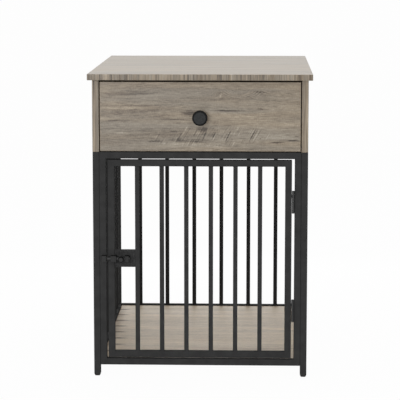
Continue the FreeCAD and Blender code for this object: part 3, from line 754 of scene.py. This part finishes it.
def mitred_frame(body, nodes):
    """Four tubes of an upright frame, cut at 45 degrees where they meet. Nodes are named by side."""
    lows, highs = zip(*[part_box(node) for node in nodes.values()])
    x_ends = [min(low.x for low in lows), max(high.x for high in highs)]
    z_ends = [min(low.z for low in lows), max(high.z for high in highs)]
    for side, node in nodes.items():
        upright = side in ("left", "right")
        mitres = []
        for end in range(2):
            column = ("left", "right").index(side) if upright else end
            row = end if upright else ("bottom", "top").index(side)
            inward = Vector((1 - 2 * column, 0, 1 - 2 * row))
            cut = Vector((inward.x, 0, -inward.z)) if upright else Vector((-inward.x, 0, inward.z))
            mitres.append(((x_ends[column], 0, z_ends[row]), cut.normalized()))
        fit(tube(node, 2 if upright else 0, mitres), body, black_coat, node)


for side in ("left", "right"):
    for level in ("top", "bottom"):
        node = "side_rail_" + level + "_" + side
        fit(tube(node, 1), "crate", black_coat, node)
    for end in ("front", "back"):
        node = "leg_" + end + "_" + side
        fit(tube(node, 2, holes=bolt_holes(node)), "crate", black_coat, node)
for level in ("top", "bottom"):
    node = "back_rail_" + level
    fit(tube(node, 0), "crate", inner_bars_painted_shade, node)
mitred_frame("crate", {"left": "front_stile_left", "right": "front_stile_right",
                       "bottom": "front_rail_bottom", "top": "front_rail_top"})
mitred_frame("door", {"left": "door_stile_left", "right": "door_stile_right",
                      "bottom": "door_rail_bottom", "top": "door_rail_top"})

# ---------------------------------------------------------------- steel bars, welded at both ends

bar_corner = 0.0008
weld_toe = 0.0014
weld_flare = 1.16


def bars(node, body, coat):
    """Square bars in place of a CAD row of bars: one is modelled and the others are copies."""
    boxes = solids_of(node)
    low, high = boxes[0]
    model = block("bar", low + Vector((0, 0, weld_toe)), high - Vector((0, 0, weld_toe)))
    edit(model)
    choose(model, "EDGE", running(2))
    bpy.ops.mesh.bevel(offset=bar_corner, segments=3, affect="EDGES")
    middle = (low + high) / 2
    for way, end in ((-1, low.z), (1, high.z)):
        choose(model, "FACE", facing((0, 0, way)))
        bpy.ops.mesh.extrude_region_move(TRANSFORM_OT_translate={"value": (0, 0, way * weld_toe)})
        centre = (middle.x, middle.y, end)
        bpy.ops.transform.resize(value=(weld_flare, weld_flare, 1), center_override=centre)
    done()
    smooth(model)
    fit(repeated(node + "_welded", model, [box[0] - low for box in boxes]), body, coat, node)


for node in ("side_bars_left", "side_bars_right", "back_bars"):
    bars(node, "crate", inner_bars_painted_shade)
bars("door_bars", "door", black_coat)

# ---------------------------------------------------------------- feet and floor tabs

# From the top down: height above the floor, and half width there.
foot_steps = ((0.0068, 0.0075), (0.0042, 0.0070), (0.0020, 0.0060), (0.0006, 0.0050), (0.0, 0.0044))
foot_height = 0.009
foot_edge = 0.0005
feet = solids_of("foot_plugs")
foot_low, foot_high = feet[0]
foot_middle = (foot_low + foot_high) / 2
foot_floor = Vector((foot_middle.x, foot_middle.y, 0))
half_leg = Vector((foot_steps[0][1], foot_steps[0][1], 0))
foot = block("foot", foot_floor - half_leg + Vector((0, 0, foot_steps[0][0])),
             foot_floor + half_leg + Vector((0, 0, foot_height)))
edit(foot)
choose(foot, "FACE", facing((0, 0, -1)))
for (above, wide), (height, narrow) in zip(foot_steps, foot_steps[1:]):
    bpy.ops.mesh.extrude_region_move(TRANSFORM_OT_translate={"value": (0, 0, height - above)})
    share = narrow / wide
    bpy.ops.transform.resize(value=(share, share, 1), center_override=(foot_floor.x, foot_floor.y, height))
done()
eased(foot, foot_edge, segments=2, angle=40)
leg_places = [Vector((low.x - foot_low.x, low.y - foot_low.y, 0)) for low, high in feet]
fit(repeated("leg_feet", foot, leg_places), "crate", foot_black, "foot_plugs")

tab_edge = 0.0004
fit(dressed("floor_tabs", tab_edge), "crate", black_coat, "floor_tabs")

# ---------------------------------------------------------------- bolts inside the legs and rails

shank_radius = 0.0030
tip_radius = 0.0024
tip_bevel = 0.0008
head_radius = 0.0055
head_height = 0.0032
head_dome = ((0.0055, 0.0009), (0.0051, 0.0018), (0.0043, 0.0026), (0.0032, 0.0031))
crown_radius = 0.0028
hexagon_radius = 0.0023
hexagon_depth = 0.0018
hexagon_cut = 0.003


def socket_bolts(name, node, axis):
    """Bolts with domed heads and hexagon sockets in place of CAD bolts that run along an axis."""
    bolts = []
    for low, high in solids_of(node):
        middle = (low + high) / 2
        length = high[axis] - low[axis]
        way = Vector((0, 0, 0))
        way[axis] = 1 if axis == 0 and middle.x > 0 else -1
        tip = middle - way * length / 2
        seat = length - head_height
        profile = [(tip_radius, 0), (shank_radius, tip_bevel), (shank_radius, seat), (head_radius, seat)]
        profile += [(radius, seat + rise) for radius, rise in head_dome]
        profile.append((crown_radius, length))
        bolt = turned("bolt", tip, way, profile, sides=24)
        well_start = tip + way * (length - hexagon_depth)
        well_profile = [(hexagon_radius, 0), (hexagon_radius, hexagon_cut)]
        well = turned("bolt_socket", well_start, way, well_profile, sides=6)
        modify(bolt, "BOOLEAN", operation="DIFFERENCE", object=well)
        bpy.data.objects.remove(well)
        smooth(bolt)
        bolts.append(bolt)
    fit(joined(name, bolts), "crate", bolt_black, node)


socket_bolts("frame_socket_bolts", "frame_bolts", 0)
socket_bolts("cabinet_socket_bolts", "cabinet_bolts", 2)

# ---------------------------------------------------------------- hinges

barrel_radius = 0.0029
barrel_edge = 0.0005
plate_depth = 0.0014
plate_end_gap = 0.0003
hinge_line = Vector((0.21185, -0.3176, 0))
frame_edge = 0.215
door_edge = 0.2087
door_weld_length = 0.007


def hinge_halves(name, node, body, edge_x, weld_length=None):
    """Barrels with rounded ends in place of CAD knuckles, each with a weld plate that reaches edge_x."""
    pieces = []
    for low, high in solids_of(node):
        length = high.z - low.z
        start = hinge_line + Vector((0, 0, low.z))
        profile = [(barrel_radius, 0), (barrel_radius, length)]
        barrel = turned("barrel", start, (0, 0, 1), profile, sides=40)
        pieces.append(eased(barrel, barrel_edge))
        middle = (low.z + high.z) / 2
        half_weld = (weld_length or length) / 2 - plate_end_gap
        near, far = sorted((hinge_line.x, edge_x))
        plate = block("weld_plate", (near, hinge_line.y + plate_depth, middle - half_weld),
                      (far, high.y, middle + half_weld))
        pieces.append(eased(plate, barrel_edge, segments=2))
    fit(joined(name, pieces), body, hinge_coat, node)


hinge_halves("hinge_frame_halves", "hinge_frame_knuckles", "crate", frame_edge)
hinge_halves("hinge_door_halves", "hinge_door_knuckles", "door", door_edge, door_weld_length)

# ---------------------------------------------------------------- slide bolt

guide_edge = 0.0009
guide_bore = 0.0041
half_passage = 0.005
spare = 0.001


def saddle(name, node, body, bore=0.0, passage=0.0):
    """Block around the bolt with eased edges, in place of a CAD guide or keeper.

    It has a round bore of a radius, or a passage of a half width that is open at the back."""
    low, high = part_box(node)
    reach = (high.z - low.z) / 2
    bolt_line = Vector((low.x - spare, low.y + reach, (low.z + high.z) / 2))
    width = high.x - low.x + 2 * spare
    piece = eased(block(name, low, high), guide_edge)
    if bore:
        drilled(piece, bolt_line, (1, 0, 0), bore, width)
    if passage:
        corner = bolt_line + Vector((width, high.y + spare - bolt_line.y, passage))
        slot = block("slot", bolt_line - Vector((0, passage, passage)), corner)
        modify(piece, "BOOLEAN", operation="DIFFERENCE", object=slot)
        bpy.data.objects.remove(slot)
    smooth(piece)
    fit(piece, body, [latch_coat, painted_shade_latch_sides], node)
    # Front faces take the latch coat; tops, sides and the rest take the painted shade.
    painted(piece, lambda normal: 0 if normal.y < -0.7 else 1)


saddle("latch_outer_guide", "latch_guide_outer", "door", bore=guide_bore)
saddle("latch_inner_guide", "latch_guide_inner", "door", bore=guide_bore)
saddle("latch_keeper_strap", "latch_keeper", "crate", passage=half_passage)

plate_edge = 0.0006
backing = block("latch_backing_plate", *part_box("latch_plate"))
fit(eased(backing, plate_edge), "door", plate_coat, "latch_plate")

rod_tip = 0.001
rod_edge = 0.0003
low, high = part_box("latch_rod")
middle = (low + high) / 2
rod_radius = (high.z - low.z) / 2
rod_start = Vector((low.x, high.y - rod_radius, middle.z))
rod_profile = [(rod_radius - rod_tip, 0), (rod_radius, rod_tip), (rod_radius, high.x - low.x)]
bolt_rod = turned("latch_bolt_rod", rod_start, (1, 0, 0), rod_profile, sides=40)
fit(eased(bolt_rod, rod_edge, segments=2), "latch_bolt", rod_coat, "latch_rod")

stem_radius = 0.0025
stem_start = 0.0005
grip_radius = 0.0065
grip_length = 0.0080
grip_bevel = 0.0013
grip_crown = 0.0046
grip_edge = 0.0006
low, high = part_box("latch_knob")
middle = (low + high) / 2
reach = high.y - low.y
bolt_knob = turned("latch_bolt_knob", (middle.x, high.y, middle.z), (0, -1, 0), [
    (stem_radius, stem_start),
    (stem_radius, reach - grip_length),
    (grip_radius - grip_bevel, reach - grip_length),
    (grip_radius, reach - grip_length + grip_bevel),
    (grip_radius, reach - grip_bevel),
    (grip_radius - grip_bevel, reach),
    (grip_crown, reach),
], sides=40)
fit(eased(bolt_knob, grip_edge, angle=25), "latch_bolt", [latch_coat, painted_shade_latch_sides], "latch_knob")
# The flat front takes the latch coat; the grip's rim and stem take the painted shade.
painted(bolt_knob, knob_part)

# ---------------------------------------------------------------- drawer knob

knob_bevel = 0.0034
knob_edge = 0.0005
low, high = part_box("drawer_knob")
middle = (low + high) / 2
knob_length = high.y - low.y
knob_head = (high.x - low.x) / 2
knob = turned("drawer_knob_turned", (middle.x, high.y, middle.z), (0, -1, 0), [
    (0.0090, 0),
    (0.0090, 0.0012),
    (0.0078, 0.0024),
    (0.0067, 0.0040),
    (0.0065, 0.0070),
    (0.0068, 0.0095),
    (0.0080, 0.0120),
    (0.0105, 0.0144),
    (0.0140, 0.0160),
    (knob_head, 0.0176),
    (knob_head, 0.0204),
    (knob_head - knob_bevel, knob_length - 0.0004),
    (knob_head - knob_bevel - 0.0006, knob_length),
], sides=72)
fit(eased(knob, knob_edge, angle=22), "drawer", [knob_coat, painted_shade_knob_sides], "drawer_knob")
# The flat front takes the knob coat; the rim and stem take the painted shade.
painted(knob, knob_part)

# ---------------------------------------------------------------- boards

board_edge = 0.0010
top_board_edge = 0.0012
drawer_side_edge = 0.0006
thin_board_edge = 0.0004


def flat_board_part(normal):
    """Rule for a board that lies flat: its faces, its front and back edges, its side edges."""
    if abs(normal.z) > 0.7:
        return 0
    return 1 if abs(normal.y) > abs(normal.x) else 2


def drawer_front_part(normal):
    """Rule for the drawer front: its faces, its side and bottom edges with their painted highlight, its top
    edge in painted shade.
    """
    if abs(normal.y) >= 0.95:
        return 0
    return 2 if normal.z > 0.3 else 1


def flat_board(node, finishes, width):
    """Board with eased edges in place of a CAD board that lies flat, in a finish for each of its parts."""
    piece = eased(block(node + "_board", *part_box(node)), width)
    fit(piece, "crate", finishes, node)
    painted(piece, flat_board_part)


flat_board("table_top", [top_face, top_edge, top_side_edge], top_board_edge)
flat_board("floor_board", [floor_grain_and_painted_light, floor_rim_painted_shade, floor_rim_painted_shade], board_edge)
fit(dressed("cabinet_ceiling"), "crate", inner_face, "cabinet_ceiling")
fit(dressed("cabinet_back"), "crate", drawer_cross, "cabinet_back")
for side in ("left", "right"):
    node = "cabinet_side_" + side
    piece = fit(dressed(node), "crate", [side_face, side_edge], node)
    painted(piece, lambda normal: 1 if abs(normal.x) < 0.7 else 0)
    node = "drawer_side_" + side
    fit(dressed(node, drawer_side_edge), "drawer", drawer_face, node)
piece = dressed("drawer_front", board_edge)
fit(piece, "drawer", [front_face, front_edge, painted_shade_drawer_top], "drawer_front")
painted(piece, drawer_front_part)
for node in ("drawer_back", "drawer_bottom"):
    fit(dressed(node, thin_board_edge), "drawer", drawer_cross, node)

# ---------------------------------------------------------------- fittings that keep their CAD shape

finish_of_fitting = {
    "slide_outer_left": slides_painted_shade,
    "slide_outer_right": slides_painted_shade,
    "slide_inner_left": slides_painted_shade,
    "slide_inner_right": slides_painted_shade,
    "ball_cage_left": zinc,
    "ball_cage_right": zinc,
    "slide_balls_left": zinc,
    "slide_balls_right": zinc,
    "cabinet_slide_screws": zinc,
    "drawer_slide_screws": zinc,
    "knob_screw": zinc,
    "cam_fittings": zinc,
    "hinge_pins": bolt_black,
}
for node, coat in finish_of_fitting.items():
    materials = frame["nodes"][node].data.materials
    materials.clear()
    materials.append(coat)

# ---------------------------------------------------------------- studio

floor_reach = 60.0
floor_white = 0.975
room_light = 0.55
bpy.ops.object.select_all(action="DESELECT")
bpy.ops.mesh.primitive_plane_add(size=2 * floor_reach, location=(0, 0, 0))
studio_floor = bpy.context.object
studio_floor.name = "studio_floor"
pale = bpy.data.materials.new("pale_floor")
pale.use_nodes = True
pale_shade = Shade(pale.node_tree)
path_camera = pale_shade.node("ShaderNodeLightPath", output="Is Camera Ray")
path_glossy = path_camera.beside("Is Glossy Ray")
matt = pale_shade.node("ShaderNodeBsdfDiffuse", None, {"Color": (0.72, 0.72, 0.72, 1)})
lit = pale_shade.node("ShaderNodeEmission", None, {"Color": (1, 1, 1, 1), "Strength": 1.0})
white_share = floor_white * (path_camera + path_glossy)
floor_mix = pale_shade.node("ShaderNodeMixShader", None, {0: white_share, 1: matt, 2: lit})
pale.node_tree.links.new(floor_mix.socket, pale.node_tree.nodes["Material Output"].inputs["Surface"])
studio_floor.data.materials.append(pale)

world = bpy.data.worlds.new("studio_air")
bpy.context.scene.world = world
world.use_nodes = True
air = Shade(world.node_tree)
seen = air.node("ShaderNodeLightPath", output="Is Camera Ray")
shown = seen.beside("Is Glossy Ray")
background = world.node_tree.nodes["Background"]
background.inputs["Color"].default_value = (1, 1, 1, 1)
strength = room_light + (1 - room_light) * (seen + shown)
world.node_tree.links.new(strength.socket, background.inputs["Strength"])


def soft_light(name, place, target, size, power):
    """Soft box aimed at a point. Its size is its width and height."""
    lamp = bpy.data.lights.new(name, "AREA")
    lamp.shape = "RECTANGLE"
    lamp.size, lamp.size_y = size
    lamp.energy = power
    box = bpy.data.objects.new(name, lamp)
    bpy.context.scene.collection.objects.link(box)
    box.location = place
    aim = Vector(target) - Vector(place)
    box.rotation_euler = aim.to_track_quat("-Z", "Y").to_euler()
    box.visible_camera = False


soft_light("key_box", place=(-1.3, -4.5, 1.1), target=(0, -0.2, 0.4), size=(1.8, 1.4), power=57)
soft_light("top_box", place=(0, 0.15, 2.6), target=(0, 0, 0.7), size=(1.2, 0.8), power=18)
soft_light("low_back_box", place=(0, 1.25, 0.42), target=(0, 0, 0.05), size=(0.9, 0.45), power=3)

# ---------------------------------------------------------------- camera

camera_place = (0.1285, -4.3917, 0.9880)
camera_turn = radians(1.8098)
camera_dip = radians(8.0436)
camera_lens = 162.69
film_width = 36.0
view = bpy.data.cameras.new("view")
view.sensor_width = film_width
view.lens = camera_lens
camera = bpy.data.objects.new("view", view)
bpy.context.scene.collection.objects.link(camera)
camera.location = camera_place
camera.rotation_euler = (pi / 2 - camera_dip, 0, camera_turn)
bpy.context.scene.camera = camera
bpy.context.scene.view_settings.view_transform = "Standard"
